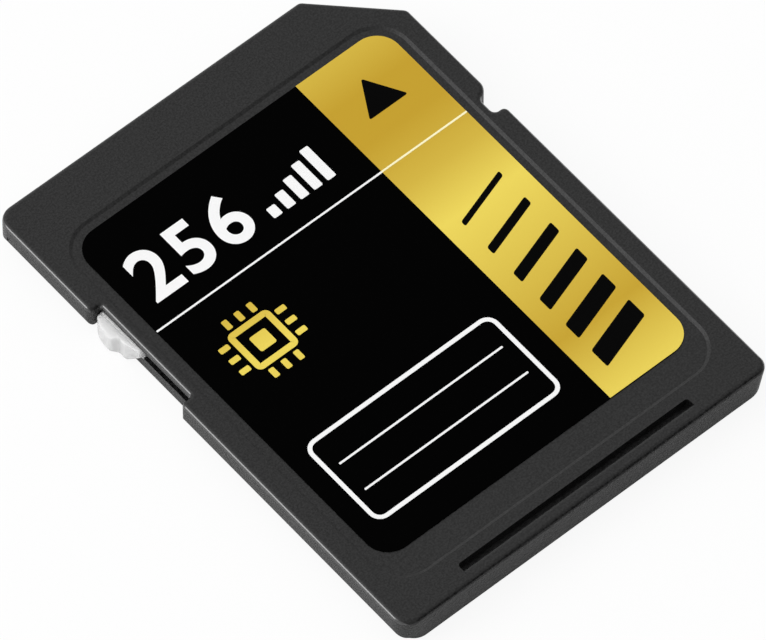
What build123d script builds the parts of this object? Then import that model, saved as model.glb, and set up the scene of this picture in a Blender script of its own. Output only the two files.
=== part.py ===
from build123d import *
import os
from math import sqrt

# A memory card: two welded covers, a lock that slides, a label and the circuit between the covers.
# Millimetres. The back face lies on Z = 0, +Z is the label side and +Y is the contact end.

# Card outline
card_width = 24.0
card_length = 32.0
card_thickness = 2.1
corner_cut = 3.9
corner_radius = 1.0
cut_corner_radius = 0.4
# The right thumb corner is tighter at the rim than at the back
thumb_rim_radius = 0.6
thumb_back_radius = 1.3
rim_round = 0.26

# Guide rails: the back is narrower than the front, and the step leaves a rail on each side
step_depth = 0.7
step_width = 0.8
rail_low_round = 0.3
back_corner_radius = 0.3
back_edge_ease = 0.12
lead_chamfer = 0.2

# Walls of the covers
front_wall = 0.3
rear_wall = 0.35
side_wall = 1.1
contact_bar = 0.8
thumb_end = 1.8
end_wall = 0.9
end_wall_left_inset = 0.4
end_foot_ease = 0.25
cavity_radius = 0.4
seam_clearance = 0.03

# Label recess, label film and foil
recess_depth = 0.1
recess_side_margin = 1.22
recess_top_margin = 3.3
recess_bottom_margin = 2.03
recess_radius = 2.0
recess_slope = 0.18
label_left_gap = 0.62
label_right_gap = 0.52
label_top_gap = 0.53
label_bottom_gap = 1.71
label_radius = 1.4
film_thickness = 0.06
foil_thickness = 0.02
foil_width = 5.63

# Nail groove across the thumb end
groove_length = 15.1
groove_width = 0.66
groove_depth = 0.6
groove_margin = 0.58
groove_lip = 0.3
groove_end_radius = 0.2

# Lock notch in the left rail, measured from the contact end
lock_notch_start = 7.55
lock_notch_length = 7.05
lock_notch_depth = 0.7
notch_inner_radius = 0.16
notch_outer_radius = 0.35

# Key notch in the right rail, measured from the contact end
key_notch_start = 10.05
key_notch_length = 1.5
key_notch_depth = 0.72
key_notch_slant = 0.4
key_outer_radius = 0.7
key_inner_radius = 0.5
key_foot_radius = 0.3
key_lower_radius = 0.32

# Rail sills: the rear cover forms the lower part of the rails beside the contacts
sill_height = 0.6
sill_inset = 0.03
sill_margin = 0.55

# Lock slider, which straddles a low wall of the rear cover
lock_wall_height = 0.16
lock_wall = 0.35
lock_channel_depth = 0.25
slide_clearance = 0.05
slider_length = 3.2
slider_end_gap = 0.075
slider_leg = 0.3
slider_foot = 0.1
slider_edge_round = 0.09
# Grip of the slider: corners by distance from its contact end and depth below the rail's face
grip_corners = [(0.02, 0.38), (0.5, 0.13), (1.35, 0.03), (1.75, 0.385), (2.15, 0.36), (3.15, 0.58)]
grip_radii = [0.15, 1.0, 0.45, 0.4, 0.3, 0.12]
grip_ridge = 0.14
grip_ridge_rise = 0.08
grip_crown = 0.9
toe_length = 0.95
toe_height = 1.05

# Circuit board
board_thickness = 0.3
board_margin = 0.3
board_end_gap = 0.15
board_corner_radius = 0.5
seat_ledge = 0.5

# First row of contacts; the pad beside the cut corner stands further back
row_count = 9
first_pad_edge = 2.825
last_pad_edge = 2.05
last_pad_pitch = 1.7
row_start = 1.1
row_length = 3.5
cut_pad_setback = 2.0
contact_rib = 0.55
window_gap = 0.15
pad_thickness = 0.035
window_radius = 0.2

# Second row of contacts
second_count = 8
second_edge = 3.4
second_start = 8.2
second_length = 1.9
second_rib = 1.1
contact_land = 1.2

# Ribs inside the front cover that press the board on its seat
press_rib_width = 0.5
press_rib_inset = 0.7
press_rib_gap = 1.0

# Packages on the board
package_gap = 0.9
flash_clearance = 0.05
flash_side_gap = 2.0
controller_size = 7.0
controller_start = 3.7
controller_clearance = 0.12
package_edge = 0.06
mark_diameter = 0.9
mark_depth = 0.04
mark_inset = 1.1

# Small parts on the board
chip_length = 1.0
chip_width = 0.5
chip_gap = 0.5
chip_pitch = 1.5
chip_rows = 4
chip_cap = 0.22
chip_cap_proud = 0.02
capacitor_clearance = 0.15
resistor_clearance = 0.3

# Levels and edges that follow from the sizes above
half_width = card_width / 2
half_length = card_length / 2
contact_end = half_length
back_half_width = half_width - step_width
seam_level = step_depth
board_top = seam_level + board_thickness
recess_floor = card_thickness - recess_depth
ceiling = recess_floor - front_wall
headroom = ceiling - board_top
cavity_low = -half_length + thumb_end
label_right = half_width - recess_side_margin - label_right_gap
lock_notch_high = contact_end - lock_notch_start
lock_notch_low = lock_notch_high - lock_notch_length
lock_notch_face = -half_width + lock_notch_depth
key_notch_high = contact_end - key_notch_start
key_notch_low = key_notch_high - key_notch_length
lock_wall_inner = -back_half_width + lock_wall
lock_leg_outer = lock_wall_inner + slide_clearance
lock_leg_inner = lock_leg_outer + slider_leg
lock_channel_floor = seam_level - lock_channel_depth
board_half_width = -lock_leg_inner - board_margin
board_low = cavity_low + board_margin
board_high = contact_end - contact_bar - board_end_gap
press_rib_outer = board_half_width - press_rib_inset
press_rib_inner = press_rib_outer - press_rib_width
controller_high = contact_end - controller_start
controller_low = controller_high - controller_size


def block(x_low, x_high, y_low, y_high, z_low, z_high):
    """A plain box between two corners."""
    size = Box(x_high - x_low, y_high - y_low, z_high - z_low)
    return Pos((x_low + x_high) / 2, (y_low + y_high) / 2, (z_low + z_high) / 2) * size


def raise_plan(plan, z_low, z_high):
    """A flat plan made into a solid between two levels."""
    return Pos(0, 0, z_low) * extrude(plan, z_high - z_low)


def round_corner(plan, x, y, radius):
    """Round the corner of a plan that stands nearest to x, y."""
    corner = plan.vertices().sort_by_distance((x, y, 0))[0]
    return fillet(corner, radius)


def cut_corner_plan(side, low, high, cut, radii):
    """A rectangle about the middle line with its upper right corner cut; the radii start at lower left."""
    corners = [(-side, low), (side, low), (side, high - cut), (side - cut, high), (-side, high)]
    plan = make_face(Polyline(*corners, close=True))
    for (x, y), radius in zip(corners, radii):
        plan = round_corner(plan, x, y, radius)
    return plan


def thumb_radius(level):
    """Radius of the right thumb corner at one level."""
    return thumb_back_radius + (thumb_rim_radius - thumb_back_radius) * level / card_thickness


def card_outline(level):
    """The card's whole plan at one level."""
    radii = [corner_radius, thumb_radius(level), cut_corner_radius, cut_corner_radius, corner_radius]
    return cut_corner_plan(half_width, -half_length, half_length, corner_cut, radii)


def inner_outline(side, low, high, radius):
    """A plan inside the card whose cut edge keeps the same wall as its sides."""
    wall = half_width - side
    cut_line = half_width + half_length - corner_cut - wall * sqrt(2)
    return cut_corner_plan(side, low, high, side + high - cut_line, [radius] * 5)


def rail_plan(level):
    """The front cover's plan at one level: the card's outline less the lock notch and the key notch."""
    plan = card_outline(level)
    lock = Pos((lock_notch_face - half_width) / 2, (lock_notch_low + lock_notch_high) / 2) * Rectangle(
        lock_notch_face + half_width, lock_notch_length)
    key_face = half_width - key_notch_depth
    key_corners = [(half_width, key_notch_high), (key_face, key_notch_high - key_notch_slant),
                   (key_face, key_notch_low), (half_width, key_notch_low)]
    key = make_face(Polyline(*key_corners, close=True))
    plan = plan - lock - key
    for y in (lock_notch_low, lock_notch_high):
        plan = round_corner(plan, lock_notch_face, y, notch_inner_radius)
        plan = round_corner(plan, -half_width, y, notch_outer_radius)
    key_radii = [key_outer_radius, key_inner_radius, key_foot_radius, key_lower_radius]
    for (x, y), radius in zip(key_corners, key_radii):
        plan = round_corner(plan, x, y, radius)
    return Pos(0, 0, level) * plan


def back_body():
    """The narrow back, from the back face up to the seam, with its lower edges eased."""
    radii = [back_corner_radius, back_corner_radius, cut_corner_radius, cut_corner_radius, corner_radius]
    plan = cut_corner_plan(back_half_width, -half_length, half_length, corner_cut - step_width, radii)
    body = raise_plan(plan, 0, seam_level)
    lower = body.edges().group_by(Axis.Z)[0]
    return chamfer(lower, back_edge_ease)


def end_wall_plan(level, ease):
    """The foot of the end wall at one level, eased, flush with the right rail and set in from the left."""
    left = -half_width + end_wall_left_inset + ease
    right = half_width - ease
    low = -half_length + ease
    plan = make_face(Polyline((left, low), (right, low), (right, 0), (left, 0), close=True))
    plan = round_corner(plan, left, low, corner_radius - ease)
    plan = round_corner(plan, right, low, thumb_radius(level) - ease)
    return Pos(0, 0, level) * plan


def end_wall_block():
    """The foot of the front cover's end wall, wider than the back, so that it closes both steps."""
    plans = [end_wall_plan(0, end_foot_ease), end_wall_plan(end_foot_ease, 0), end_wall_plan(seam_level, 0)]
    seam = -half_length + end_wall
    return loft(plans, ruled=True) & block(-half_width, half_width, -half_length, seam, 0, seam_level)


def rail_edge_trim(side):
    """What the rounded lower edge of one rail takes away."""
    inner = half_width - rail_low_round
    top = seam_level + rail_low_round
    x_low, x_high = sorted((side * inner, side * half_width))
    bar = Pos(side * inner, 0, top) * Rot(90, 0, 0) * Cylinder(rail_low_round, card_length)
    return block(x_low, x_high, -half_length, half_length, seam_level, top) - bar


def lead_trim():
    """What the sloping lead-in takes from the lower edge of the contact end."""
    high = seam_level + lead_chamfer
    wedge = Polyline((contact_end - lead_chamfer, seam_level), (contact_end, seam_level),
                     (contact_end, high), close=True)
    return extrude(Plane.YZ * make_face(wedge), half_width, both=True)


def label_plan():
    """The label's outline in its recess."""
    left = -half_width + recess_side_margin + label_left_gap
    low = -half_length + recess_bottom_margin + label_bottom_gap
    high = half_length - recess_top_margin - label_top_gap
    middle = Pos((left + label_right) / 2, (low + high) / 2)
    return middle * RectangleRounded(label_right - left, high - low, label_radius)


def recess_plan(level, grow):
    """The recess at one level, grown or shrunk by its sloping sides."""
    width = card_width - 2 * recess_side_margin + grow
    low = -half_length + recess_bottom_margin
    high = half_length - recess_top_margin
    plan = RectangleRounded(width, high - low + grow, recess_radius + grow / 2)
    return Pos(0, (low + high) / 2, level) * plan


def recess():
    """The shallow recess that takes the label, with sloping sides."""
    return loft([recess_plan(recess_floor, -recess_slope), recess_plan(card_thickness, recess_slope)])


def nail_groove():
    """The slot across the thumb end that a fingernail catches in, with one rounded lip and round ends."""
    low = -half_length + groove_margin
    high = low + groove_width
    floor = card_thickness - groove_depth
    lip_low = card_thickness - groove_lip
    walls = Polyline((low + groove_lip, lip_low), (low + groove_lip, floor), (high, floor),
                     (high, card_thickness), (low, card_thickness))
    section = make_face(walls + CenterArc((low, lip_low), groove_lip, 0, 90))
    slot = extrude(Plane.YZ * section, groove_length / 2, both=True)
    plan = Pos(0, (low + high) / 2) * RectangleRounded(groove_length, groove_width, groove_end_radius)
    return slot & raise_plan(plan, floor, card_thickness)


def left_sill_span():
    """Where the left sill starts and ends along the rail."""
    return lock_notch_high + sill_margin, contact_end - corner_radius - seam_clearance


def right_sill_span():
    """Where the right sill starts and ends along the rail."""
    return key_notch_high + sill_margin, contact_end - corner_cut - sill_margin


def sill(side, span, clearance):
    """One rail sill on the given side, grown by a clearance for the pocket that takes it."""
    low, high = span
    inner = half_width - side_wall + seam_clearance - clearance
    outer = half_width - sill_inset + clearance
    x_low, x_high = sorted((side * inner, side * outer))
    top = seam_level + sill_height + clearance
    return block(x_low, x_high, low - clearance, high + clearance, seam_level, top)


def press_ribs():
    """Ribs under the front wall that hold the board down, clear of the lock's path."""
    ribs = []
    for side in (-1, 1):
        x_low, x_high = sorted((side * press_rib_inner, side * press_rib_outer))
        spans = [(board_low + press_rib_gap, lock_notch_low - press_rib_gap),
                 (lock_notch_high + press_rib_gap, contact_end - corner_cut - press_rib_gap)]
        ribs += [block(x_low, x_high, low, high, board_top, ceiling) for low, high in spans]
    return ribs


def front_cover():
    """The label-side shell, with its rails, end wall, recess, groove and notches."""
    shell = loft([rail_plan(seam_level), rail_plan(card_thickness)], ruled=True)
    rim = shell.edges().group_by(Axis.Z)[-1]
    shell = fillet(rim, rim_round)
    shell -= lead_trim()
    for side in (-1, 1):
        shell -= rail_edge_trim(side)
    shell += end_wall_block()
    shell -= recess()
    shell -= nail_groove()
    cavity = inner_outline(half_width - side_wall, cavity_low, contact_end - contact_bar, cavity_radius)
    shell -= raise_plan(cavity, seam_level, ceiling)
    slot_inner = -half_width + side_wall
    shell -= block(-half_width, slot_inner, lock_notch_low, lock_notch_high, seam_level, ceiling)
    shell -= sill(-1, left_sill_span(), seam_clearance)
    shell -= sill(1, right_sill_span(), seam_clearance)
    for rib in press_ribs():
        shell += rib
    return shell


def rows_of_pads():
    """Each pad's middle in X, its contact-end edge, its width and its length, in contact order."""
    first = half_width - first_pad_edge
    last = -half_width + last_pad_edge
    before_last = last + last_pad_pitch
    pitch = (first - before_last) / (row_count - 2)
    wide = pitch - contact_rib - 2 * window_gap
    narrow = last_pad_pitch - contact_rib - 2 * window_gap
    start = contact_end - row_start
    pads = [(first, start - cut_pad_setback, wide, row_length)]
    pads += [(first - pitch * step, start, wide, row_length) for step in range(1, row_count - 2)]
    pads += [(before_last, start, narrow, row_length), (last, start, narrow, row_length)]
    second_span = card_width - 2 * second_edge
    second_pitch = second_span / (second_count - 1)
    second_width = second_pitch - second_rib - 2 * window_gap
    for step in range(second_count):
        x = half_width - second_edge - second_pitch * step
        pads.append((x, contact_end - second_start, second_width, second_length))
    return pads


def window(number, pad):
    """The opening in the rear cover over one pad; the first row is open to the contact end."""
    x, start, width, length = pad
    half = width / 2 + window_gap
    low = start - length - window_gap
    high = contact_end if number < row_count else start + window_gap
    opening = block(x - half, x + half, low, high, 0, seam_level)
    corners = opening.edges().filter_by(Axis.Z)
    if number < row_count:
        corners = corners.group_by(Axis.Y)[0]
    return fillet(corners, window_radius)


def rear_cover():
    """The back shell: contact windows and their ribs, a seat for the board, the sills and the lock wall."""
    seam = -half_length + end_wall + seam_clearance
    shell = back_body() & block(-half_width, half_width, seam, half_length, 0, seam_level)
    last_window = contact_end - second_start - second_length - window_gap
    pocket_high = last_window - contact_land
    pocket_side = board_half_width - seat_ledge
    pocket = Pos(0, (board_low + seat_ledge + pocket_high) / 2) * RectangleRounded(
        2 * pocket_side, pocket_high - board_low - seat_ledge, board_corner_radius)
    shell -= raise_plan(pocket, rear_wall, seam_level)
    for number, pad in enumerate(rows_of_pads()):
        shell -= window(number, pad)
    shell += sill(-1, left_sill_span(), 0) - rail_edge_trim(-1)
    shell += sill(1, right_sill_span(), 0) - rail_edge_trim(1)
    low = lock_notch_low + slide_clearance
    high = lock_notch_high - slide_clearance
    shell += block(-back_half_width, lock_wall_inner, low, high, seam_level, seam_level + lock_wall_height)
    channel_inner = lock_leg_inner + slide_clearance
    shell -= block(lock_wall_inner, channel_inner, low, high, lock_channel_floor, seam_level)
    return shell


def lock_grip(inner, low, high, top):
    """The bumped grip of the lock: its top rounds down outwards and its lower thumb corner is cut away."""
    corners = [(-half_width + depth, high - along) for along, depth in grip_corners]
    line = FilletPolyline((inner, high), *corners, (inner, low), radius=grip_radii)
    grip = raise_plan(make_face(line + Line((inner, low), (inner, high))), slider_foot, top)
    bar = Pos(inner, 0, top - grip_crown) * Rot(90, 0, 0) * Cylinder(grip_crown, card_length)
    grip -= block(-half_width, inner, low, high, top - grip_crown, top) - bar
    outer = grip.edges().filter_by(lambda edge: edge.center().X < inner - slide_clearance)
    grip = fillet(outer - outer.filter_by(Axis.Z), slider_edge_round)
    toe_end = (low, slider_foot + toe_height)
    toe = Polyline((low, slider_foot), (low + toe_length, slider_foot), toe_end, close=True)
    return grip - extrude(Plane.YZ * make_face(toe), half_width, both=True)


def lock_slider():
    """The lock: a grip with a ridge outside the low wall, a bridge over it and a leg that hooks behind."""
    high = lock_notch_high - slider_end_gap
    low = high - slider_length
    top = ceiling - slide_clearance
    inner = -back_half_width - slide_clearance
    bridge_low = seam_level + lock_wall_height + slide_clearance
    bridge = block(inner, lock_leg_inner, low, high, bridge_low, top)
    leg = block(lock_leg_outer, lock_leg_inner, low, high, lock_channel_floor + slide_clearance, top)
    ridge = block(inner - grip_ridge, inner, low + slider_edge_round, high - slider_edge_round,
                  top - 2 * grip_ridge, top)
    return lock_grip(inner, low, high, top - grip_ridge_rise) + ridge + bridge + leg


def label_film():
    """The printed film that lies on the recess floor."""
    return raise_plan(label_plan(), recess_floor, recess_floor + film_thickness)


def gold_foil():
    """The foil stamped down the right side of the label film."""
    strip = Pos(label_right - foil_width / 2, 0) * Rectangle(foil_width, card_length)
    base = recess_floor + film_thickness
    return raise_plan(label_plan() & strip, base, base + foil_thickness)


def circuit_board():
    """The board that the pads and the packages sit on."""
    return raise_plan(inner_outline(board_half_width, board_low, board_high, board_corner_radius),
                      seam_level, board_top)


def contact_pad(pad):
    """One plated contact on the underside of the board."""
    x, start, width, length = pad
    half = width / 2
    return block(x - half, x + half, start - length, start, seam_level - pad_thickness, seam_level)


def package(x_low, x_high, y_low, y_high, height):
    """A moulded chip package with eased top edges and a round mark by its first corner."""
    body = block(x_low, x_high, y_low, y_high, board_top, board_top + height)
    body = chamfer(body.edges().group_by(Axis.Z)[-1], package_edge)
    mark = Pos(x_low + mark_inset, y_high - mark_inset, board_top + height - mark_depth / 2)
    return body - mark * Cylinder(mark_diameter / 2, mark_depth)


def flash_package():
    """The memory package, which fills the thumb half of the board."""
    half = press_rib_inner - flash_side_gap
    low = board_low + package_gap
    high = controller_low - package_gap
    return package(-half, half, low, high, headroom - flash_clearance)


def controller_package():
    """The controller, between the memory package and the contact end."""
    half = controller_size / 2
    return package(-half, half, controller_low, controller_high, headroom - controller_clearance)


def chip_part(x, y, height):
    """A small two-ended part with plated end caps."""
    body = Pos(x, y, board_top + height / 2) * Box(chip_length, chip_width, height)
    for end in (-1, 1):
        cap_x = x + end * (chip_length - chip_cap) / 2
        cap = Box(chip_cap, chip_width + 2 * chip_cap_proud, height + chip_cap_proud)
        body += Pos(cap_x, y, board_top + (height + chip_cap_proud) / 2) * cap
    return body


def chip_places(side):
    """Where the small parts of one side stand: two columns beside the controller."""
    near = controller_size / 2 + chip_gap + chip_length / 2
    far = press_rib_inner - chip_gap - chip_length / 2
    middle = (controller_low + controller_high) / 2
    rows = [middle + (row - (chip_rows - 1) / 2) * chip_pitch for row in range(chip_rows)]
    return [(side * x, y) for x in (near, far) for y in rows]


def save(name, solid):
    """Write one piece as its own file."""
    export_step(solid, f"parts/{name}.step")


def main():
    """Make every piece and write it."""
    os.makedirs("parts", exist_ok=True)
    save("front_cover", front_cover())
    save("rear_cover", rear_cover())
    save("lock_slider", lock_slider())
    save("label_film", label_film())
    save("gold_foil", gold_foil())
    save("circuit_board", circuit_board())
    for number, pad in enumerate(rows_of_pads(), start=1):
        save(f"contact_pad_{number:02d}", contact_pad(pad))
    save("flash_package", flash_package())
    save("controller_package", controller_package())
    for number, (x, y) in enumerate(chip_places(-1), start=1):
        save(f"capacitor_{number}", chip_part(x, y, headroom - capacitor_clearance))
    for number, (x, y) in enumerate(chip_places(1), start=1):
        save(f"resistor_{number}", chip_part(x, y, headroom - resistor_clearance))


if __name__ == "__main__":
    main()
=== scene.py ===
import math
import bpy
from bpy.props import FloatProperty, FloatVectorProperty, IntProperty, PointerProperty, StringProperty
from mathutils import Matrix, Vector


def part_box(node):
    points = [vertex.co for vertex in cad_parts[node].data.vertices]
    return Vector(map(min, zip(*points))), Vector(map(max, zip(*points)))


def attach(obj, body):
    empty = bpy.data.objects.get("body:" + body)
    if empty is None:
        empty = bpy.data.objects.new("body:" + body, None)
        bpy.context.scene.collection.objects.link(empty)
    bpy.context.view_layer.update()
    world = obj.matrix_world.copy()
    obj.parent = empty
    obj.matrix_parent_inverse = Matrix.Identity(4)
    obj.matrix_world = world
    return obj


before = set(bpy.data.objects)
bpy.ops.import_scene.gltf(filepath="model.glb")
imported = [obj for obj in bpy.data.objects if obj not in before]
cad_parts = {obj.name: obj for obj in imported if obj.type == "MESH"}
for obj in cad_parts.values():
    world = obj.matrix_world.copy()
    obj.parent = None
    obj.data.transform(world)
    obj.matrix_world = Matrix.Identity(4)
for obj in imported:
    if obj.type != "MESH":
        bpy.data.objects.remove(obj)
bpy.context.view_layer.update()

bl_info = {
    "name": "Memory card dressing",
    "version": (1, 0, 0),
    "blender": (4, 5, 0),
    "location": "View3D > Sidebar > Card",
    "description": "Finishes, label print and a studio stage for a memory card",
    "category": "Object",
}

MM = 0.001
CARD_BODY = "card"
film_low, film_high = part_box("label_film")
foil_low, foil_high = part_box("gold_foil")

# Specular levels
HOUSING_GLOSS = 0.372
FILM_GLOSS = 0.01
LIGHT_INK_GLOSS = 0.3
BLACK_INK_GLOSS = 0.02

# Housing: contrast of its specks, polish of its rims, and grain of its walls as a multiple of the flats'
SPECK_CONTRAST = 3.5
RIM_POLISH = 0.9
WALL_COARSENESS = 7.0

# Ends of the ramps that tell the housing's flats, rims and walls apart by parts of their normals
FLAT_TO_RIM_ACROSS_SQUARED = (0.27, 0.42)
WALL_TO_RIM_RISE = (0.1, 0.3)
FLAT_TO_WALL_RISE_SQUARED = (0.36, 0.04)

# Painted sheen of the foil, printed as bands of lighter and darker gold: share of the label's length from
# the contact end, and lightness
FOIL_PAINTED_SHEEN = [(0.0, 0.35), (0.1, 0.02), (0.21, 0.02), (0.34, 0.36), (0.46, 0.98), (0.83, 0.08), (1.0, 0.9)]

# Share of a small part's length that is tinned at each end
TIN_SHARE = 0.22

# Steps that make up the print's round corners and figures, and the distance under which two points are one
CORNER_STEPS = 4
FRAME_CORNER_STEPS = 6
FIGURE_STEPS = 12
WELD = 0.0005 * MM

# Height of a figure as a share of the text's size, and of a triangle as a multiple of its circle's radius
FIGURE_SHARE = 0.73
TRIANGLE_HEIGHT = 1.5

# Ends of the ramps that lay out the room, as cosines of the angle from the side that each part is on
WINDOW_FADE = (-0.6, 0.9)
SCREEN_FADE = (0.96, 0.86)
SOFT_BOX_FADE = (0.86, 0.95)


# Settings that a user would change

def length_setting(name, description, default):
    """A length in metres that shows in the scene's units."""
    return FloatProperty(name=name, description=description, default=default, unit="LENGTH", precision=5)


def place_setting(name, description, default):
    """A place in metres."""
    return FloatVectorProperty(name=name, description=description, default=default, size=3,
                               subtype="TRANSLATION", unit="LENGTH", precision=5)


def side_setting(name, description, default):
    """A direction from the card."""
    return FloatVectorProperty(name=name, description=description, default=default, size=3,
                               subtype="DIRECTION")


def angle_setting(name, description, degrees):
    """An angle that is written in degrees."""
    return FloatProperty(name=name, description=description, default=math.radians(degrees),
                         subtype="ANGLE", unit="ROTATION")


def colour_setting(name, description, default):
    """A colour without alpha."""
    return FloatVectorProperty(name=name, description=description, default=default, size=3,
                               subtype="COLOR", min=0.0, max=1.0)


def pixel_setting(name, description, default):
    """A length in pixels of the image."""
    return FloatProperty(name=name, description=description, default=default, subtype="PIXEL")


def number_setting(name, description, default):
    """A plain number."""
    return FloatProperty(name=name, description=description, default=default)


def share_setting(name, description, default):
    """A share from 0 to 1."""
    return FloatProperty(name=name, description=description, default=default, min=0.0, max=1.0,
                         subtype="FACTOR")


def count_setting(name, description, default):
    """How many of a kind, two or more."""
    return IntProperty(name=name, description=description, default=default, min=2)


class CardFinish(bpy.types.PropertyGroup):
    """Colours and grain of the card's materials."""

    housing: colour_setting("Housing", "Black moulded plastic of both covers", (0.007, 0.007, 0.0071))
    housing_grain: length_setting("Housing grain", "Size of the eroded grain of the mould", 0.11 * MM)
    housing_depth: length_setting("Housing depth", "Depth of the grain on the flats", 0.0132 * MM)
    housing_cloud: length_setting("Housing cloud", "Size of the glossier patches", 4.4 * MM)
    film: colour_setting("Film", "Black of the label film", (0.0004, 0.0004, 0.0004))
    # The foil's two golds are the dark and light ends of its painted sheen
    foil_shade: colour_setting("Foil, deep", "Gold of the foil where it looks dark", (0.627, 0.395, 0.036))
    foil_light: colour_setting("Foil, light", "Gold of the foil where it looks bright", (0.97, 0.78, 0.134))
    white_ink: colour_setting("White ink", "White print on the film", (0.9, 0.9, 0.9))
    pale_ink: colour_setting("Pale ink", "Cream print on the foil", (0.97, 0.92, 0.57))
    black_ink: colour_setting("Black ink", "Black print on the foil", (0.0012, 0.0012, 0.0012))
    lock: colour_setting("Lock", "White plastic of the slider", (0.58, 0.58, 0.58))
    contact: colour_setting("Contacts", "Gold plating of the contacts", (0.94, 0.7, 0.32))
    mask: colour_setting("Solder mask", "Dark green mask of the board", (0.008, 0.03, 0.018))
    package: colour_setting("Packages", "Black moulding of the packages", (0.02, 0.02, 0.021))
    capacitor: colour_setting("Capacitors", "Tan ceramic of the capacitors", (0.36, 0.24, 0.14))
    resistor: colour_setting("Resistors", "Black glaze of the resistors", (0.015, 0.015, 0.016))
    tin: colour_setting("Tin", "Plating of the small parts' ends", (0.7, 0.7, 0.68))


class CardPrint(bpy.types.PropertyGroup):
    """Places and sizes of the print on the label."""

    ink_thickness: length_setting("Ink thickness", "Thickness of the print", 0.008 * MM)
    rule_place: length_setting("Rule place", "Height of the rule on the label", 5.4 * MM)
    rule_width: length_setting("Rule width", "Thickness of the rule", 0.11 * MM)
    rule_corner: length_setting("Rule corner", "Corner radius of the rule", 0.02 * MM)
    number: StringProperty(name="Number", description="Plain number on the label", default="256")
    number_left: length_setting("Number left", "Left edge of the number", -9.1 * MM)
    number_base: length_setting("Number base", "Base line of the number", 6.75 * MM)
    number_height: length_setting("Number height", "Height of the figures", 3.15 * MM)
    number_weight: length_setting("Number weight", "Growth of the strokes", 0.08 * MM)
    number_spacing: number_setting("Number spacing", "Spacing of the figures", 1.12)
    level_left: length_setting("Level left", "Left edge of the rising bars", -1.3 * MM)
    level_count: count_setting("Level count", "How many bars rise", 5)
    level_width: length_setting("Level width", "Width of one rising bar", 0.55 * MM)
    level_pitch: length_setting("Level pitch", "Step from bar to bar", 0.88 * MM)
    level_first: length_setting("Level first", "Height of the lowest bar", 0.7 * MM)
    level_last: length_setting("Level last", "Height of the highest bar", 2.3 * MM)
    level_corner: length_setting("Level corner", "Corner radius of a rising bar", 0.08 * MM)
    panel_left: length_setting("Panel left", "Left edge of the writing panel", -9.0 * MM)
    panel_right: length_setting("Panel right", "Right edge of the writing panel", 3.3 * MM)
    panel_low: length_setting("Panel low", "Lower edge of the writing panel", -10.4 * MM)
    panel_high: length_setting("Panel high", "Upper edge of the writing panel", -4.5 * MM)
    panel_line: length_setting("Panel line", "Thickness of the panel's frame", 0.24 * MM)
    panel_radius: length_setting("Panel radius", "Corner radius of the panel's frame", 0.7 * MM)
    writing_count: count_setting("Writing lines", "How many lines to write on", 2)
    writing_width: length_setting("Writing width", "Thickness of a line to write on", 0.12 * MM)
    writing_corner: length_setting("Writing corner", "Corner radius of a line to write on", 0.03 * MM)
    writing_margin: length_setting("Writing margin", "Room beside a line to write on", 0.8 * MM)
    chip_x: length_setting("Chip X", "Middle of the chip sign", -6.4 * MM)
    chip_y: length_setting("Chip Y", "Middle of the chip sign", 1.6 * MM)
    chip_size: length_setting("Chip size", "Side of the chip sign", 2.7 * MM)
    chip_line: length_setting("Chip line", "Thickness of the chip's frame", 0.36 * MM)
    chip_radius: length_setting("Chip radius", "Corner radius of the chip's frame", 0.35 * MM)
    core_share: share_setting("Core share", "Side of the chip's core as a share of the chip's", 0.38)
    core_corner: length_setting("Core corner", "Corner radius of the chip's core", 0.12 * MM)
    leg_length: length_setting("Leg length", "Length of a leg of the chip", 0.62 * MM)
    leg_width: length_setting("Leg width", "Width of a leg of the chip", 0.34 * MM)
    leg_corner: length_setting("Leg corner", "Corner radius of a leg of the chip", 0.08 * MM)
    leg_gap: length_setting("Leg gap", "Room between the chip's frame and its legs", 0.18 * MM)
    leg_pitch_share: share_setting("Leg pitch", "Step from leg to leg as a share of the chip's side", 0.3)
    stripe_low: length_setting("Stripe low", "Lower end of the slanted stripes", -9.6 * MM)
    stripe_count: count_setting("Stripe count", "How many slanted stripes", 6)
    stripe_pitch: length_setting("Stripe pitch", "Step from stripe to stripe", 2.1 * MM)
    stripe_first: length_setting("Stripe first", "Thickness of the thickest stripe", 1.25 * MM)
    stripe_last: length_setting("Stripe last", "Thickness of the thinnest stripe", 0.35 * MM)
    stripe_slant: length_setting("Stripe slant", "Rise of a stripe across the foil", 1.1 * MM)
    stripe_margin: length_setting("Stripe margin", "Foil left free beside the stripes", 1.1 * MM)
    stripe_corner: length_setting("Stripe corner", "Corner radius of a stripe", 0.12 * MM)
    arrow_y: length_setting("Arrow Y", "Middle of the arrow that points to the contact end", 8.9 * MM)
    arrow_size: length_setting("Arrow size", "Height of the arrow", 2.2 * MM)
    arrow_corner: length_setting("Arrow corner", "Corner radius of the arrow", 0.15 * MM)


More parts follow.
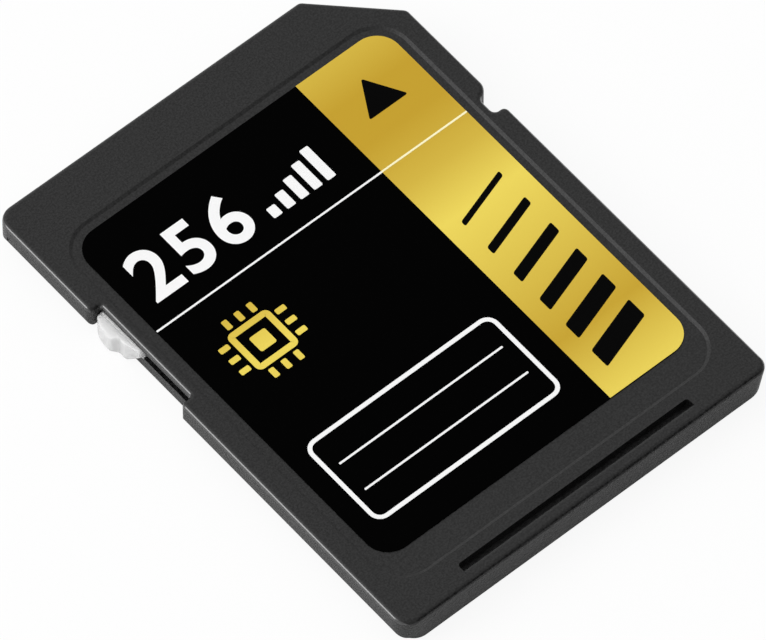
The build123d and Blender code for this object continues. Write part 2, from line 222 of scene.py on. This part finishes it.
class CardStage(bpy.types.PropertyGroup):
    """Camera, room, lamp and floor."""

    azimuth: angle_setting("Azimuth", "Camera's turn about the card", -40.2806)
    elevation: angle_setting("Elevation", "Camera's height angle", 57.6026)
    distance: length_setting("Distance", "Camera's distance from its target", 731.0 * MM)
    target: place_setting("Target", "Point that the camera looks at",
                          (-0.6353 * MM, -0.9028 * MM, 1.05 * MM))
    focal_pixels: pixel_setting("Focal length", "Focal length in pixels of the image", 14551.0)
    image_width: pixel_setting("Image width", "Width of the image", 766.0)
    sensor_width: FloatProperty(name="Sensor width", description="Width of the camera's sensor",
                                default=36.0, unit="CAMERA")
    nearest: length_setting("Nearest", "Where the camera's view starts", 0.01)
    farthest: length_setting("Farthest", "Where the camera's view ends", 20.0)
    floor: colour_setting("Floor", "Colour of the floor", (0.88, 0.88, 0.88))
    floor_white: share_setting("Floor white", "Share of plain white in the floor's look", 0.9)
    mirror_white: share_setting("Mirror white", "Share of plain white that reflections show", 0.2)
    floor_size: length_setting("Floor size", "Side of the floor", 6.0)
    floor_gap: length_setting("Floor gap", "Room between the floor and the card", 0.02 * MM)
    back_level: number_setting("Back level", "Brightness of the room behind the card", 1.02)
    front_level: number_setting("Front level", "Brightness of the room before the card", 0.55)
    window_side: side_setting("Window side", "Where the room is brightest", (-0.55, 0.8, 0.25))
    screen_side: side_setting("Screen side", "Where the dark screen stands", (0.36, -0.9, 0.25))
    screen_level: share_setting("Screen level", "Share of the room's light at the screen", 0.05)
    soft_box_side: side_setting("Soft box side", "Where the soft box hangs", (-0.53, 0.41, 0.74))
    soft_box_level: number_setting("Soft box level", "Light that the soft box adds to the room", 1.0)
    lamp_place: place_setting("Lamp place", "Middle of the lamp on the left", (-0.5, 0.255, 0.26))
    lamp_width: length_setting("Lamp width", "Width of the lamp on the left", 0.32)
    lamp_height: length_setting("Lamp height", "Height of the lamp on the left", 0.26)
    lamp_radiance: number_setting("Lamp radiance", "Brightness of the lamp on the left", 4.6)


def finish_settings():
    """The scene's colours and grain."""
    return bpy.context.scene.card_finish


def print_settings():
    """The scene's places and sizes of the print."""
    return bpy.context.scene.card_print


# Shader expressions

class Value:
    """One output of a node; arithmetic on it adds Math nodes to the same tree."""

    def __init__(self, paint, socket):
        self.paint = paint
        self.socket = socket

    def maths(self, operation, first, second):
        """Add a Math node."""
        return self.paint.node("ShaderNodeMath", {"operation": operation}, {0: first, 1: second})

    def __add__(self, other):
        return self.maths("ADD", self, other)

    def __radd__(self, other):
        return self.maths("ADD", other, self)

    def __sub__(self, other):
        return self.maths("SUBTRACT", self, other)

    def __rsub__(self, other):
        return self.maths("SUBTRACT", other, self)

    def __mul__(self, other):
        return self.maths("MULTIPLY", self, other)

    def __rmul__(self, other):
        return self.maths("MULTIPLY", other, self)

    def __truediv__(self, other):
        return self.maths("DIVIDE", self, other)

    def __rtruediv__(self, other):
        return self.maths("DIVIDE", other, self)

    def __gt__(self, other):
        return self.maths("GREATER_THAN", self, other)

    def __lt__(self, other):
        return self.maths("LESS_THAN", self, other)


class Paint:
    """A node tree, and the one way to add a node to it."""

    def __init__(self, tree):
        self.tree = tree
        self.tree.nodes.clear()

    def node(self, kind, settings, inputs, output=0):
        """Add a node, set it up, fill its sockets with values or links, and give one output."""
        made = self.tree.nodes.new(kind)
        for key, setting in settings.items():
            if key == "stops":
                self.set_stops(made.color_ramp, setting)
            else:
                setattr(made, key, setting)
        for key, value in inputs.items():
            if isinstance(value, Value):
                self.tree.links.new(value.socket, made.inputs[key])
            else:
                made.inputs[key].default_value = value
        return Value(self, made.outputs[output]) if len(made.outputs) else None

    def set_stops(self, ramp, stops):
        """Give a colour ramp its places and grey levels."""
        while len(ramp.elements) < len(stops):
            ramp.elements.new(1.0)
        for element, (place, level) in zip(ramp.elements, stops):
            element.position = place
            element.color = (level, level, level, 1.0)

    def place(self):
        """Object coordinates."""
        return self.node("ShaderNodeTexCoord", {}, {}, "Object")

    def axes(self, vector):
        """The three parts of a vector."""
        first = self.node("ShaderNodeSeparateXYZ", {}, {"Vector": vector}, "X")
        outputs = first.socket.node.outputs
        return first, Value(self, outputs["Y"]), Value(self, outputs["Z"])

    def noise(self, place, size, detail=2.0, rough=0.5):
        """Noise whose features are about the given size."""
        inputs = {"Vector": place, "Scale": 1.0 / size, "Detail": detail, "Roughness": rough}
        return self.node("ShaderNodeTexNoise", {}, inputs, "Fac")

    def mix(self, share, first, second):
        """A colour between two colours; a Mix node's colour sockets are found by number."""
        return self.node("ShaderNodeMix", {"data_type": "RGBA"}, {0: share, 6: first, 7: second}, 2)

    def mottle(self, share, colour, darkest, lightest):
        """A colour that varies between two multiples of itself."""
        return self.mix(share, scaled(colour, darkest), scaled(colour, lightest))

    def along(self, vector, side):
        """How far a vector goes along one direction."""
        inputs = {0: vector, 1: Vector(side).normalized()}
        return self.node("ShaderNodeVectorMath", {"operation": "DOT_PRODUCT"}, inputs, "Value")

    def ramp(self, value, start, end):
        """A smooth step from 0 at the start to 1 at the end."""
        return self.node("ShaderNodeMapRange", {"interpolation_type": "SMOOTHSTEP"},
                         {"Value": value, "From Min": start, "From Max": end})

    def bump(self, height, depth):
        """A normal bent by a height that stands for the given depth."""
        return self.node("ShaderNodeBump", {}, {"Height": height, "Distance": depth, "Strength": 1.0})

    def surface(self, inputs):
        """Finish the tree with a Principled surface."""
        shader = self.node("ShaderNodeBsdfPrincipled", {}, inputs)
        self.node("ShaderNodeOutputMaterial", {}, {"Surface": shader})


def new_material(name):
    """An empty node material and its paint."""
    material = bpy.data.materials.new(name)
    material.use_nodes = True
    return material, Paint(material.node_tree)


def scaled(colour, factor):
    """A colour made lighter or darker, with full alpha."""
    return (*(part * factor for part in colour), 1.0)


def solid(colour):
    """A colour with full alpha."""
    return scaled(colour, 1.0)


# Materials

def worn_rim(paint, across, rise):
    """How polished the rails' rounded rims are: not at all on flats, shallow slopes and walls."""
    off_flat = paint.ramp(across * across, *FLAT_TO_RIM_ACROSS_SQUARED)
    off_wall = paint.ramp(rise, *WALL_TO_RIM_RISE)
    return RIM_POLISH * off_flat * off_wall


def housing_plastic(finish):
    """Black plastic with the grain of an eroded mould, coarser on the walls and polished on the rims."""
    material, paint = new_material("housing_plastic")
    place = paint.place()
    grain = paint.noise(place, finish.housing_grain, rough=0.6)
    cloud = paint.noise(place, finish.housing_cloud, detail=3.0)
    relief = grain - 0.5
    speck = 0.5 + SPECK_CONTRAST * relief
    colour = paint.mottle(speck, finish.housing, darkest=0.0, lightest=2.0)
    rough = 0.26 + 0.08 * grain + 0.04 * cloud
    across, _, rise = paint.axes(paint.node("ShaderNodeNewGeometry", {}, {}, "Normal"))
    wall = paint.ramp(rise * rise, *FLAT_TO_WALL_RISE_SQUARED)
    coarseness = 1.0 + (WALL_COARSENESS - 1.0) * wall
    normal = paint.bump(relief * coarseness, finish.housing_depth)
    polish = worn_rim(paint, across, rise)
    paint.surface({"Base Color": colour, "Roughness": rough, "Normal": normal,
                   "Specular IOR Level": HOUSING_GLOSS,
                   "Coat Weight": polish, "Coat Roughness": 0.2, "Coat IOR": 1.7})
    return material


def lock_plastic(finish):
    """White plastic that lets light in, with a faint flow pattern and a smooth skin."""
    flow_size = 1.2 * MM
    skin_size = 0.15 * MM
    skin_depth = 0.002 * MM
    light_reach = 1.0 * MM
    material, paint = new_material("lock_plastic")
    place = paint.place()
    flow = paint.noise(place, flow_size)
    colour = paint.mottle(flow, finish.lock, darkest=0.97, lightest=1.03)
    normal = paint.bump(paint.noise(place, skin_size), skin_depth)
    paint.surface({"Base Color": colour, "Roughness": 0.45 + 0.1 * flow, "Normal": normal,
                   "Subsurface Weight": 1.0, "Subsurface Radius": (1.0, 1.0, 1.0),
                   "Subsurface Scale": light_reach})
    return material


def label_black(finish):
    """Matt black film with the slight tooth of its varnish."""
    tooth_size = 0.06 * MM
    material, paint = new_material("label_black")
    tooth = paint.noise(paint.place(), tooth_size, detail=1.0)
    colour = paint.mottle(tooth, finish.film, darkest=0.8, lightest=1.2)
    paint.surface({"Base Color": colour, "Roughness": 0.5 + 0.1 * tooth, "Specular IOR Level": FILM_GLOSS})
    return material


def foil_gold(finish, name):
    """Gold foil with printed bands of painted sheen along its length and a faint rolled grain."""
    rolled_size = 0.09 * MM
    material, paint = new_material(name)
    place = paint.place()
    _, along, _ = paint.axes(place)
    run = (film_high.y - along) / (film_high.y - film_low.y)
    # Painted sheen: bands of lighter and darker gold along the label's length, put into the base colour
    sheen = paint.node("ShaderNodeValToRGB", {"stops": FOIL_PAINTED_SHEEN}, {"Fac": run}, "Color")
    colour = paint.mix(sheen, solid(finish.foil_shade), solid(finish.foil_light))
    rolled = paint.noise(place, rolled_size, detail=1.0)
    paint.surface({"Base Color": colour, "Roughness": 0.34 + 0.08 * rolled, "Metallic": 1.0})
    return material


def printed_ink(name, colour, gloss):
    """Screen-printed ink with a fine uneven coat."""
    coat_size = 0.12 * MM
    material, paint = new_material(name)
    coat = paint.noise(paint.place(), coat_size)
    shade = paint.mottle(coat, colour, darkest=0.97, lightest=1.03)
    paint.surface({"Base Color": shade, "Roughness": 0.5 + 0.1 * coat, "Specular IOR Level": gloss})
    return material


def contact_gold(finish):
    """Plated contacts with the lengthwise wipe marks of a socket's springs."""
    wipe_size = 0.05 * MM
    wipe_depth = 0.002 * MM
    stretch = (1.0, 0.04, 1.0)
    material, paint = new_material("contact_gold")
    stretched = paint.node("ShaderNodeMapping", {}, {"Vector": paint.place(), "Scale": stretch})
    wipes = paint.noise(stretched, wipe_size, detail=3.0, rough=0.6)
    colour = paint.mottle(wipes, finish.contact, darkest=0.88, lightest=1.06)
    normal = paint.bump(wipes, wipe_depth)
    paint.surface({"Base Color": colour, "Roughness": 0.2 + 0.16 * wipes, "Metallic": 1.0,
                   "Normal": normal})
    return material


def board_mask(finish):
    """Solder mask over copper tracks, which show as faint raised runs."""
    track_width = 0.06 * MM
    track_length = 1.7 * MM
    track_pitch = 0.4 * MM
    track_height = 0.01 * MM
    gloss_size = 0.3 * MM
    material, paint = new_material("board_mask")
    place = paint.place()
    layout = {"Vector": place, "Scale": 1.0, "Mortar Size": track_width, "Brick Width": track_length,
              "Row Height": track_pitch}
    tracks = paint.node("ShaderNodeTexBrick", {"offset": 0.5}, layout, "Fac")
    colour = paint.mottle(tracks, finish.mask, darkest=1.0, lightest=1.8)
    normal = paint.bump(tracks, track_height)
    rough = 0.28 + 0.1 * paint.noise(place, gloss_size)
    paint.surface({"Base Color": colour, "Roughness": rough, "Normal": normal})
    return material


def package_black(finish):
    """Filled moulding compound of the packages."""
    filler_size = 0.05 * MM
    filler_height = 0.004 * MM
    material, paint = new_material("package_black")
    filler = paint.noise(paint.place(), filler_size, detail=3.0, rough=0.7)
    colour = paint.mottle(filler, finish.package, darkest=0.7, lightest=1.5)
    normal = paint.bump(filler, filler_height)
    paint.surface({"Base Color": colour, "Roughness": 0.55 + 0.15 * filler, "Normal": normal})
    return material


def small_part(name, finish, body):
    """A small part's body with tin at both ends, told apart by the place along its own length."""
    speck_size = 0.04 * MM
    material, paint = new_material(name)
    along, _, _ = paint.axes(paint.node("ShaderNodeTexCoord", {}, {}, "Generated"))
    tinned = (along < TIN_SHARE) + (along > 1.0 - TIN_SHARE)
    speck = paint.noise(paint.place(), speck_size)
    bare = paint.mottle(speck, body, darkest=0.85, lightest=1.15)
    colour = paint.mix(tinned, bare, solid(finish.tin))
    rough = 0.45 - 0.1 * tinned + 0.1 * speck
    paint.surface({"Base Color": colour, "Metallic": tinned, "Roughness": rough})
    return material


def dress(names, material):
    """Give CAD nodes their material."""
    for name in names:
        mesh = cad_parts[name].data
        mesh.materials.clear()
        mesh.materials.append(material)


def nodes_named(start):
    """The CAD nodes whose names start alike."""
    names = sorted(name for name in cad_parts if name.startswith(start))
    if not names:
        raise ValueError(f"no node is named {start}")
    return names


# Print on the label

def deselect():
    """Leave nothing selected."""
    bpy.ops.object.select_all(action="DESELECT")


def start_edit():
    """Open the active object for editing with all of it selected."""
    bpy.ops.object.mode_set(mode="EDIT")
    bpy.ops.mesh.select_mode(type="VERT")
    bpy.ops.mesh.select_all(action="SELECT")


def settle():
    """Put the active object's place and size into its mesh."""
    bpy.ops.object.transform_apply(location=True, rotation=True, scale=True)


def round_corners(radius, steps):
    """Round every corner of the flat shape being edited."""
    bpy.ops.mesh.bevel(offset=radius, segments=steps, affect="VERTICES")


def raise_ink():
    """Give the flat shape being edited the ink's thickness, turn its faces outwards and close the edit."""
    rise = (0.0, 0.0, print_settings().ink_thickness)
    bpy.ops.mesh.select_all(action="SELECT")
    bpy.ops.mesh.extrude_region_move(TRANSFORM_OT_translate={"value": rise})
    bpy.ops.mesh.select_all(action="SELECT")
    bpy.ops.mesh.remove_doubles(threshold=WELD)
    bpy.ops.mesh.normals_make_consistent(inside=False)
    bpy.ops.mesh.faces_shade_flat()
    bpy.ops.object.mode_set(mode="OBJECT")
    settle()


def open_plane(middle, width, height):
    """Add a flat rectangle of the given size and open it for editing."""
    deselect()
    bpy.ops.mesh.primitive_plane_add(size=1.0, location=middle)
    start_edit()
    bpy.ops.transform.resize(value=(width, height, 1.0), center_override=middle)
    return bpy.context.active_object


def lift_right_end(plate, rise):
    """Lift the right end of the rectangle being edited, so that it slants."""
    bpy.ops.mesh.select_all(action="DESELECT")
    bpy.ops.object.mode_set(mode="OBJECT")
    for vertex in plate.data.vertices:
        vertex.select = vertex.co.x > 0
    bpy.ops.object.mode_set(mode="EDIT")
    bpy.ops.transform.translate(value=(0.0, rise, 0.0))
    bpy.ops.mesh.select_all(action="SELECT")


def ink_plate(middle, width, height, radius, slant=0.0):
    """A printed bar with rounded corners; with a slant, its right end stands higher."""
    plate = open_plane(middle, width, height)
    if slant:
        lift_right_end(plate, slant)
    round_corners(radius, CORNER_STEPS)
    raise_ink()
    return plate


def moved_copy(piece, shift):
    """A copy of a printed piece, with a mesh of its own, at another place."""
    deselect()
    piece.select_set(True)
    bpy.context.view_layer.objects.active = piece
    bpy.ops.object.duplicate_move(TRANSFORM_OT_translate={"value": shift})
    settle()
    return bpy.context.active_object


def like_plates(start, shifts, width, height, radius):
    """Like printed bars, shifted from a start: the first is modelled and the others are its copies."""
    first = ink_plate(start + shifts[0], width, height, radius)
    return [first] + [moved_copy(first, shift - shifts[0]) for shift in shifts[1:]]


def ink_frame(middle, width, height, radius, line):
    """A printed outline with rounded corners."""
    outline = open_plane(middle, width, height)
    round_corners(radius, FRAME_CORNER_STEPS)
    bpy.ops.mesh.select_all(action="SELECT")
    bpy.ops.mesh.inset(thickness=line)
    bpy.ops.mesh.delete(type="FACE")
    raise_ink()
    return outline


def ink_triangle(middle, height, radius):
    """A printed triangle that points to the contact end."""
    deselect()
    bpy.ops.mesh.primitive_circle_add(vertices=3, radius=height / TRIANGLE_HEIGHT, fill_type="NGON",
                                      location=middle)
    start_edit()
    round_corners(radius, CORNER_STEPS)
    raise_ink()
    return bpy.context.active_object


def join(name, pieces):
    """Make one named piece of several."""
    deselect()
    for piece in pieces:
        piece.select_set(True)
    bpy.context.view_layer.objects.active = pieces[0]
    if len(pieces) > 1:
        bpy.ops.object.join()
    joined = bpy.context.active_object
    joined.name = name
    joined.data.name = name
    return joined


def finish_print(piece, material):
    """Give a printed piece its ink and the card to ride on."""
    piece.data.materials.clear()
    piece.data.materials.append(material)
    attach(piece, CARD_BODY)


# Operators, one for each piece or group of like pieces and one for the stage

class CARD_OT_dress_housing(bpy.types.Operator):
    """Give both covers their grained black plastic"""

    bl_idname = "card.dress_housing"
    bl_label = "Dress the housing"

    def execute(self, context):
        dress(["front_cover", "rear_cover"], housing_plastic(finish_settings()))
        return {"FINISHED"}


class CARD_OT_dress_lock(bpy.types.Operator):
    """Give the lock slider its white plastic"""

    bl_idname = "card.dress_lock"
    bl_label = "Dress the lock"

    def execute(self, context):
        dress(["lock_slider"], lock_plastic(finish_settings()))
        return {"FINISHED"}


class CARD_OT_dress_label(bpy.types.Operator):
    """Give the label film its black and the foil its gold"""

    bl_idname = "card.dress_label"
    bl_label = "Dress the label"

    def execute(self, context):
        finish = finish_settings()
        dress(["label_film"], label_black(finish))
        dress(["gold_foil"], foil_gold(finish, "foil_gold"))
        return {"FINISHED"}


class CARD_OT_dress_circuit(bpy.types.Operator):
    """Give the board, the contacts, the packages and the small parts their finishes"""

    bl_idname = "card.dress_circuit"
    bl_label = "Dress the circuit"

    def execute(self, context):
        finish = finish_settings()
        dress(["circuit_board"], board_mask(finish))
        dress(nodes_named("contact_pad"), contact_gold(finish))
        dress(["flash_package", "controller_package"], package_black(finish))
        dress(nodes_named("capacitor"), small_part("capacitor_ceramic", finish, finish.capacitor))
        dress(nodes_named("resistor"), small_part("resistor_glaze", finish, finish.resistor))
        return {"FINISHED"}


class CARD_OT_print_rule(bpy.types.Operator):
    """Print the rule, white across the film and pale across the foil"""

    bl_idname = "card.print_rule"
    bl_label = "Print the rule"

    def execute(self, context):
        sizes = print_settings()
        finish = finish_settings()
        spans = [("white_rule", film_low.x, foil_low.x, film_high.z, finish.white_ink, "label_black"),
                 ("pale_rule", foil_low.x, foil_high.x, foil_high.z, finish.pale_ink, "gold_foil")]
        for name, left, right, level, colour, slot in spans:
            middle = ((left + right) / 2, sizes.rule_place, level)
            bar = ink_plate(middle, right - left, sizes.rule_width, sizes.rule_corner)
            finish_print(join(name, [bar]), printed_ink(f"{name}_ink", colour, LIGHT_INK_GLOSS))
        return {"FINISHED"}


class CARD_OT_print_number(bpy.types.Operator):
    """Print the plain number at the head of the label"""

    bl_idname = "card.print_number"
    bl_label = "Print the number"

    def execute(self, context):
        sizes = print_settings()
        deselect()
        bpy.ops.object.text_add(location=(sizes.number_left, sizes.number_base, film_high.z))
        text = bpy.context.active_object
        text.data.body = sizes.number
        text.data.size = sizes.number_height / FIGURE_SHARE
        text.data.offset = sizes.number_weight
        text.data.space_character = sizes.number_spacing
        text.data.resolution_u = FIGURE_STEPS
        bpy.ops.object.convert(target="MESH")
        start_edit()
        raise_ink()
        number = join("white_number", [bpy.context.active_object])
        white = printed_ink("white_number_ink", finish_settings().white_ink, LIGHT_INK_GLOSS)
        finish_print(number, white)
        return {"FINISHED"}


class CARD_OT_print_level(bpy.types.Operator):
    """Print the rising bars beside the number"""

    bl_idname = "card.print_level"
    bl_label = "Print the rising bars"

    def execute(self, context):
        sizes = print_settings()
        pieces = []
        for step in range(sizes.level_count):
            share = step / (sizes.level_count - 1)
            height = sizes.level_first + share * (sizes.level_last - sizes.level_first)
            x = sizes.level_left + step * sizes.level_pitch + sizes.level_width / 2
            middle = (x, sizes.number_base + height / 2, film_high.z)
            pieces.append(ink_plate(middle, sizes.level_width, height, sizes.level_corner))
        white = printed_ink("white_level_ink", finish_settings().white_ink, LIGHT_INK_GLOSS)
        finish_print(join("white_level_bars", pieces), white)
        return {"FINISHED"}


class CARD_OT_print_panel(bpy.types.Operator):
    """Print the framed writing panel with its lines"""

    bl_idname = "card.print_panel"
    bl_label = "Print the writing panel"

    def execute(self, context):
        sizes = print_settings()
        width = sizes.panel_right - sizes.panel_left
        height = sizes.panel_high - sizes.panel_low
        foot = Vector(((sizes.panel_left + sizes.panel_right) / 2, sizes.panel_low, film_high.z))
        middle = foot + Vector((0.0, height / 2, 0.0))
        pieces = [ink_frame(middle, width, height, sizes.panel_radius, sizes.panel_line)]
        pitch = height / (sizes.writing_count + 1)
        shifts = [Vector((0.0, (step + 1) * pitch, 0.0)) for step in range(sizes.writing_count)]
        length = width - 2 * sizes.writing_margin
        pieces += like_plates(foot, shifts, length, sizes.writing_width, sizes.writing_corner)
        white = printed_ink("white_panel_ink", finish_settings().white_ink, LIGHT_INK_GLOSS)
        finish_print(join("white_writing_panel", pieces), white)
        return {"FINISHED"}


class CARD_OT_print_chip(bpy.types.Operator):
    """Print the gold chip sign: a framed square with legs and a square core"""

    bl_idname = "card.print_chip"
    bl_label = "Print the chip sign"

    def execute(self, context):
        sizes = print_settings()
        side = sizes.chip_size
        core = side * sizes.core_share
        middle = Vector((sizes.chip_x, sizes.chip_y, film_high.z))
        pieces = [ink_frame(middle, side, side, sizes.chip_radius, sizes.chip_line),
                  ink_plate(middle, core, core, sizes.core_corner)]
        length = sizes.leg_length
        width = sizes.leg_width
        reach = side / 2 + sizes.leg_gap + length / 2
        pitch = side * sizes.leg_pitch_share
        spots = [(end * reach, step * pitch) for end in (-1, 1) for step in (-1, 0, 1)]
        beside = [Vector((out, along, 0.0)) for out, along in spots]
        above = [Vector((along, out, 0.0)) for out, along in spots]
        pieces += like_plates(middle, beside, length, width, sizes.leg_corner)
        pieces += like_plates(middle, above, width, length, sizes.leg_corner)
        # The chip sign takes the foil's gold with the same painted sheen bands
        gold = foil_gold(finish_settings(), "chip_sign_gold")
        finish_print(join("gold_chip_sign", pieces), gold)
        return {"FINISHED"}


class CARD_OT_print_stripes(bpy.types.Operator):
    """Print the slanted stripes that grow thicker down the foil"""

    bl_idname = "card.print_stripes"
    bl_label = "Print the stripes"

    def execute(self, context):
        sizes = print_settings()
        x = (foil_low.x + foil_high.x) / 2
        width = foil_high.x - foil_low.x - 2 * sizes.stripe_margin
        slant = sizes.stripe_slant
        pieces = []
        for step in range(sizes.stripe_count):
            share = step / (sizes.stripe_count - 1)
            height = sizes.stripe_first + share * (sizes.stripe_last - sizes.stripe_first)
            middle = (x, sizes.stripe_low + step * sizes.stripe_pitch - slant / 2, foil_high.z)
            pieces.append(ink_plate(middle, width, height, sizes.stripe_corner, slant))
        black = printed_ink("black_stripe_ink", finish_settings().black_ink, BLACK_INK_GLOSS)
        finish_print(join("black_stripes", pieces), black)
        return {"FINISHED"}


class CARD_OT_print_arrow(bpy.types.Operator):
    """Print the arrow that points to the contact end"""

    bl_idname = "card.print_arrow"
    bl_label = "Print the arrow"

    def execute(self, context):
        sizes = print_settings()
        middle = ((foil_low.x + foil_high.x) / 2, sizes.arrow_y, foil_high.z)
        arrow = join("black_arrow", [ink_triangle(middle, sizes.arrow_size, sizes.arrow_corner)])
        black = printed_ink("black_arrow_ink", finish_settings().black_ink, BLACK_INK_GLOSS)
        finish_print(arrow, black)
        return {"FINISHED"}


class CARD_OT_build_stage(bpy.types.Operator):
    """Set up the camera, the floor, the room and the lamp"""

    bl_idname = "card.build_stage"
    bl_label = "Build the stage"

    def execute(self, context):
        stage = context.scene.card_stage
        context.scene.view_settings.view_transform = "Standard"
        add_camera(stage)
        add_floor(stage)
        add_room(stage)
        add_side_lamp(stage)
        return {"FINISHED"}


# Stage

def turn_to(direction):
    """The turn that makes a camera or a lamp look in a direction."""
    return direction.to_track_quat("-Z", "Y").to_euler()


def add_camera(stage):
    """A long lens at the photograph's angle."""
    level = math.cos(stage.elevation)
    back = Vector((math.sin(stage.azimuth) * level,
                   -math.cos(stage.azimuth) * level,
                   math.sin(stage.elevation)))
    deselect()
    bpy.ops.object.camera_add(location=Vector(stage.target) + back * stage.distance,
                              rotation=turn_to(-back))
    camera = bpy.context.active_object
    camera.name = "card_camera"
    camera.data.sensor_width = stage.sensor_width
    camera.data.lens = stage.focal_pixels * stage.sensor_width / stage.image_width
    camera.data.clip_start = stage.nearest
    camera.data.clip_end = stage.farthest
    bpy.context.scene.camera = camera


def floor_paper(stage):
    """Pale paper that looks white to the eye and lighter in reflections, and takes the card's shadow."""
    material, paint = new_material("floor_paper")
    camera, glossy, through = (paint.node("ShaderNodeLightPath", {}, {}, kind)
                               for kind in ("Is Camera Ray", "Is Glossy Ray", "Is Transmission Ray"))
    seen = stage.floor_white * camera + stage.mirror_white * (glossy + through)
    paper = paint.node("ShaderNodeBsdfDiffuse", {}, {"Color": solid(stage.floor)})
    white = paint.node("ShaderNodeEmission", {}, {"Strength": 1.0})
    look = paint.node("ShaderNodeMixShader", {}, {0: seen, 1: paper, 2: white})
    paint.node("ShaderNodeOutputMaterial", {}, {"Surface": look})
    return material


def add_floor(stage):
    """A plain pale floor just under the card."""
    deselect()
    bpy.ops.mesh.primitive_plane_add(size=stage.floor_size, location=(0.0, 0.0, -stage.floor_gap))
    floor = bpy.context.active_object
    floor.name = "floor"
    floor.data.materials.append(floor_paper(stage))


def add_room(stage):
    """A pale room lit from behind on the left, with a soft box overhead and a dark screen low in front."""
    world = bpy.data.worlds.new("studio_room")
    bpy.context.scene.world = world
    world.use_nodes = True
    paint = Paint(world.node_tree)
    direction = paint.node("ShaderNodeTexCoord", {}, {}, "Generated")
    behind = paint.ramp(paint.along(direction, stage.window_side), *WINDOW_FADE)
    open_air = paint.ramp(paint.along(direction, stage.screen_side), *SCREEN_FADE)
    overhead = paint.ramp(paint.along(direction, stage.soft_box_side), *SOFT_BOX_FADE)
    walls = stage.front_level + behind * (stage.back_level - stage.front_level)
    screened = walls * (stage.screen_level + (1.0 - stage.screen_level) * open_air)
    level = screened + stage.soft_box_level * overhead
    light = paint.node("ShaderNodeBackground", {}, {"Color": (1.0, 1.0, 1.0, 1.0), "Strength": level})
    paint.node("ShaderNodeOutputWorld", {}, {"Surface": light})


def add_side_lamp(stage):
    """A broad lamp on the left, a little behind the card."""
    place = Vector(stage.lamp_place)
    deselect()
    bpy.ops.object.light_add(type="AREA", location=place, rotation=turn_to(-place))
    lamp = bpy.context.active_object
    lamp.name = "side_lamp"
    lamp.data.shape = "RECTANGLE"
    lamp.data.size = stage.lamp_width
    lamp.data.size_y = stage.lamp_height
    lamp.data.energy = stage.lamp_radiance * math.pi * stage.lamp_width * stage.lamp_height


class CARD_PT_panel(bpy.types.Panel):
    """Lists the steps that dress the card"""

    bl_idname = "CARD_PT_panel"
    bl_label = "Memory card"
    bl_space_type = "VIEW_3D"
    bl_region_type = "UI"
    bl_category = "Card"

    def draw(self, context):
        for step in STEPS:
            self.layout.operator(step.bl_idname)


STEPS = (
    CARD_OT_dress_housing,
    CARD_OT_dress_lock,
    CARD_OT_dress_label,
    CARD_OT_dress_circuit,
    CARD_OT_print_rule,
    CARD_OT_print_number,
    CARD_OT_print_level,
    CARD_OT_print_panel,
    CARD_OT_print_chip,
    CARD_OT_print_stripes,
    CARD_OT_print_arrow,
    CARD_OT_build_stage,
)
SETTINGS = (("card_finish", CardFinish), ("card_print", CardPrint), ("card_stage", CardStage))


def register():
    """Make the settings, the steps and the panel known."""
    for name, settings in SETTINGS:
        bpy.utils.register_class(settings)
        setattr(bpy.types.Scene, name, PointerProperty(type=settings))
    for step in STEPS:
        bpy.utils.register_class(step)
    bpy.utils.register_class(CARD_PT_panel)


def unregister():
    """Take back what register made known."""
    bpy.utils.unregister_class(CARD_PT_panel)
    for step in reversed(STEPS):
        bpy.utils.unregister_class(step)
    for name, settings in reversed(SETTINGS):
        delattr(bpy.types.Scene, name)
        bpy.utils.unregister_class(settings)


def main():
    """Register the steps, dress the card and build the stage."""
    register()
    bpy.ops.card.dress_housing()
    bpy.ops.card.dress_lock()
    bpy.ops.card.dress_label()
    bpy.ops.card.dress_circuit()
    bpy.ops.card.print_rule()
    bpy.ops.card.print_number()
    bpy.ops.card.print_level()
    bpy.ops.card.print_panel()
    bpy.ops.card.print_chip()
    bpy.ops.card.print_stripes()
    bpy.ops.card.print_arrow()
    bpy.ops.card.build_stage()


if __name__ == "__main__":
    main()
